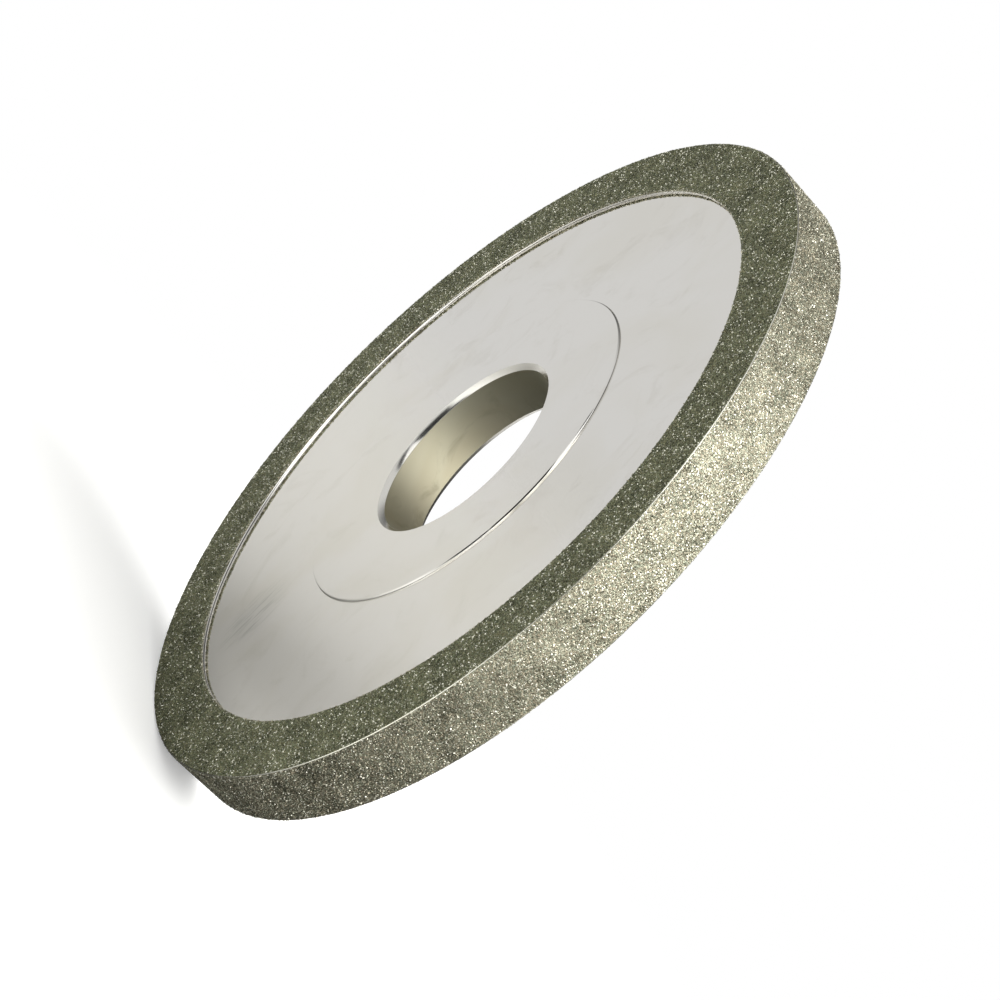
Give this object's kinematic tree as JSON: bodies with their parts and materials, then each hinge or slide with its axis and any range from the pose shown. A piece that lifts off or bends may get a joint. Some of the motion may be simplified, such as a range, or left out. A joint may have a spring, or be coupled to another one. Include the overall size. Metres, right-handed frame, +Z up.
{
  "type": "diamond grinding wheel",
  "caption": "Flat diamond grinding wheel with a plain bore, low hub lands, a mirror-bright nickel web, and a diamond-coated rim and side bands.",
  "frame": {"origin": "centre of the bore, in the middle of the wheel's width", "axes": "+Y along the wheel's axis, out of its back; the front looks along -Y; +Z up when the wheel stands on its rim"},
  "size_m": [0.125, 0.01, 0.125],
  "materials": {
    "core_steel": "turned, hidden under the plating",
    "bright_nickel": "mirror-bright nickel plating with light handling marks",
    "bore_nickel": "nickel over a turned bore",
    "matt_nickel": "matt nickel, hidden under the diamond layer",
    "diamond_side": "diamond grit standing in grey-olive nickel, rough and sparkling",
    "diamond_rim": "diamond grit standing in pale nickel, rough and sparkling"
  },
  "bodies": {
    "root": {"core": "core_steel", "bore_plating": "bore_nickel", "front_face_plating": "bright_nickel", "back_face_plating": "bright_nickel", "nickel_strike": "matt_nickel", "front_diamond_band": "diamond_side", "rim_diamond_layer": "diamond_rim", "back_diamond_band": "diamond_side"}
  },
  "joints": []
}
